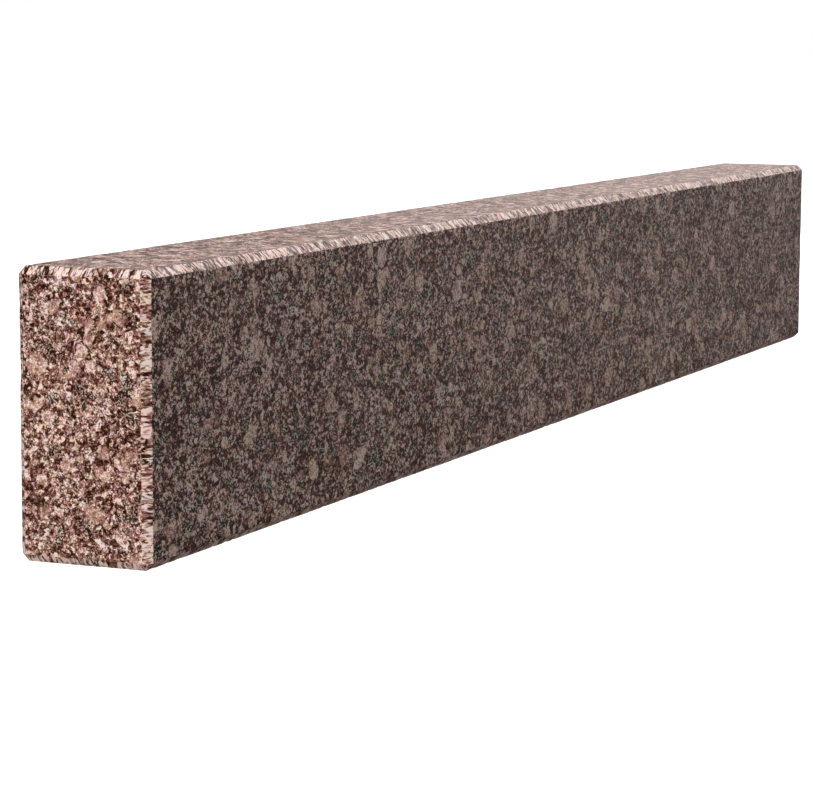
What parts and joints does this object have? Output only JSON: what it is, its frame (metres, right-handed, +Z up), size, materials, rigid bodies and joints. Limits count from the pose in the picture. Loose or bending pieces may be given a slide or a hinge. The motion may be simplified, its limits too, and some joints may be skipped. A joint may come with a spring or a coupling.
{
  "type": "granite kerb block",
  "caption": "Long solid rectangular granite bar with every edge chamfered, laid on its bed face as a kerb or edging block.",
  "frame": {"origin": "middle of the bed face, the face that the block rests on", "axes": "+X along the length, +Y from the front long face to the back long face, +Z up"},
  "size_m": [1.6, 0.1, 0.2],
  "materials": {
    "granite": "sawn and lightly ground red-brown granite with coarse pink feldspar, dark mica and paler ground chamfers"
  },
  "bodies": {
    "root": {"granite_block": "granite"}
  },
  "joints": []
}
